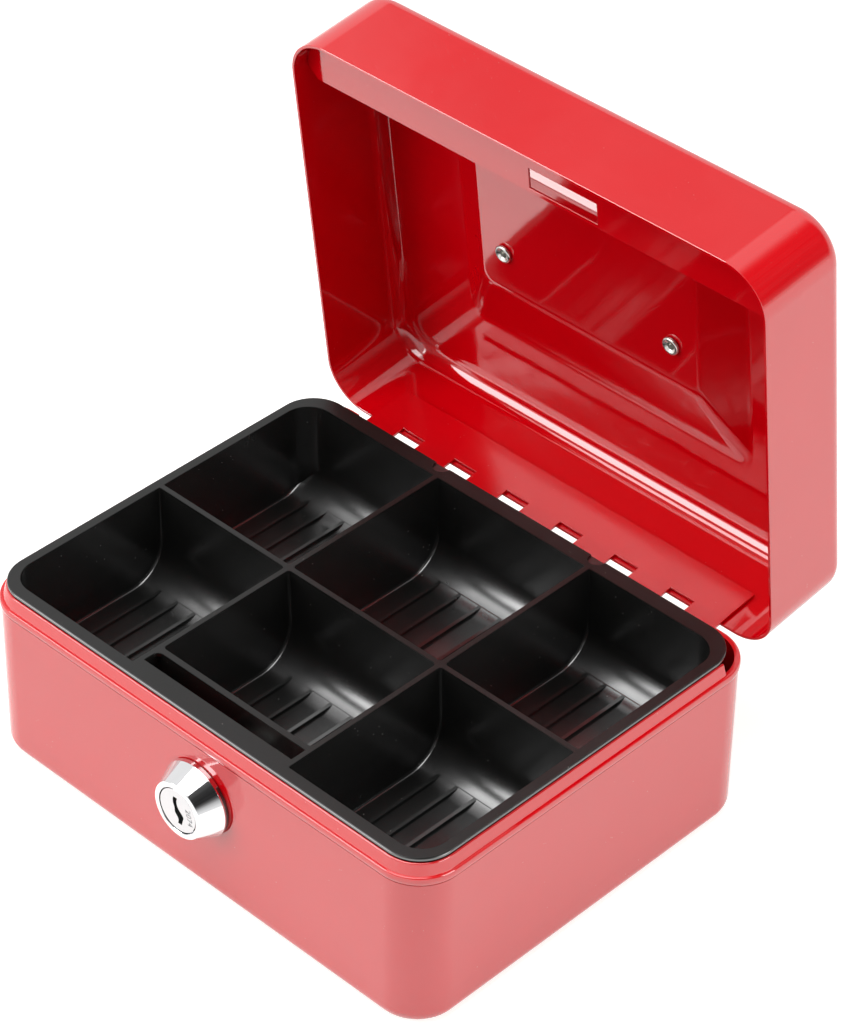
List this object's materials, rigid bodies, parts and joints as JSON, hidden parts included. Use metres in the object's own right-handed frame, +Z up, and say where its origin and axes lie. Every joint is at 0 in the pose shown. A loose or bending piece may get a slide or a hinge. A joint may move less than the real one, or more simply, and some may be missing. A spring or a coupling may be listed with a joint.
{
  "type": "cash box",
  "caption": "Small lockable steel cash box with a hinged lid, folding carrying handle, cam lock and lift-out coin tray.",
  "frame": {"origin": "centre of the base's flat bottom face", "axes": "+Z up, +X along the long side to the right when facing the lock, -Y out of the front wall that holds the lock"},
  "size_m": [0.152, 0.1567, 0.1651],
  "materials": {
    "red_enamel": "high gloss red enamel",
    "hinge_enamel": "high gloss red enamel over zinc",
    "zinc_plated_steel": "bright zinc plate",
    "chrome": "polished chrome plate",
    "brass": "stamped brass",
    "black_plastic": "satin black moulding"
  },
  "bodies": {
    "base": {"base_shell": "red_enamel", "base_hinge_leaf": "hinge_enamel", "hinge_pin": "zinc_plated_steel", "lock_housing": "chrome", "lock_ring": "black_plastic", "lock_nut": "zinc_plated_steel"},
    "lid": {"lid_shell": "red_enamel", "lid_hinge_leaf": "hinge_enamel", "lid_lock_rail": "red_enamel", "handle_bracket_left": "chrome", "handle_bracket_right": "chrome", "handle_rivet_left": "zinc_plated_steel", "handle_rivet_right": "zinc_plated_steel"},
    "handle": {"handle_bail": "chrome"},
    "tray": {"coin_tray": "black_plastic"},
    "lock_core": {"lock_plug": "chrome", "lock_cam": "zinc_plated_steel", "cam_screw": "zinc_plated_steel"},
    "wafer_1": {"lock_wafer_1": "brass"},
    "wafer_2": {"lock_wafer_2": "brass"},
    "wafer_3": {"lock_wafer_3": "brass"},
    "wafer_4": {"lock_wafer_4": "brass"}
  },
  "joints": [
    {"name": "lid_hinge", "type": "hinge", "parent": "base", "child": "lid", "pos_m": [0, 0.0594, 0.0438], "axis": [1, 0, 0], "range_deg": [0, 82.7]},
    {"name": "handle_fold", "type": "hinge", "parent": "lid", "child": "handle", "pos_m": [0, 0.08106, 0.10213], "axis": [-1, 0, 0], "range_deg": [0, 90]},
    {"name": "lock_turn", "type": "hinge", "parent": "base", "child": "lock_core", "pos_m": [0.0025, -0.0589, 0.0298], "axis": [0, -1, 0], "range_deg": [0, 90]},
    {"name": "tray_lift", "type": "slide", "parent": "base", "child": "tray", "axis": [0, 0, -1], "range_m": [-0.06, 0]},
    {"name": "wafer_slide_1", "type": "slide", "parent": "lock_core", "child": "wafer_1", "axis": [0, 0, 1], "range_m": [0, 0.0004]},
    {"name": "wafer_slide_2", "type": "slide", "parent": "lock_core", "child": "wafer_2", "axis": [0, 0, 1], "range_m": [0, 0.0004]},
    {"name": "wafer_slide_3", "type": "slide", "parent": "lock_core", "child": "wafer_3", "axis": [0, 0, 1], "range_m": [0, 0.0004]},
    {"name": "wafer_slide_4", "type": "slide", "parent": "lock_core", "child": "wafer_4", "axis": [0, 0, 1], "range_m": [0, 0.0004]}
  ]
}
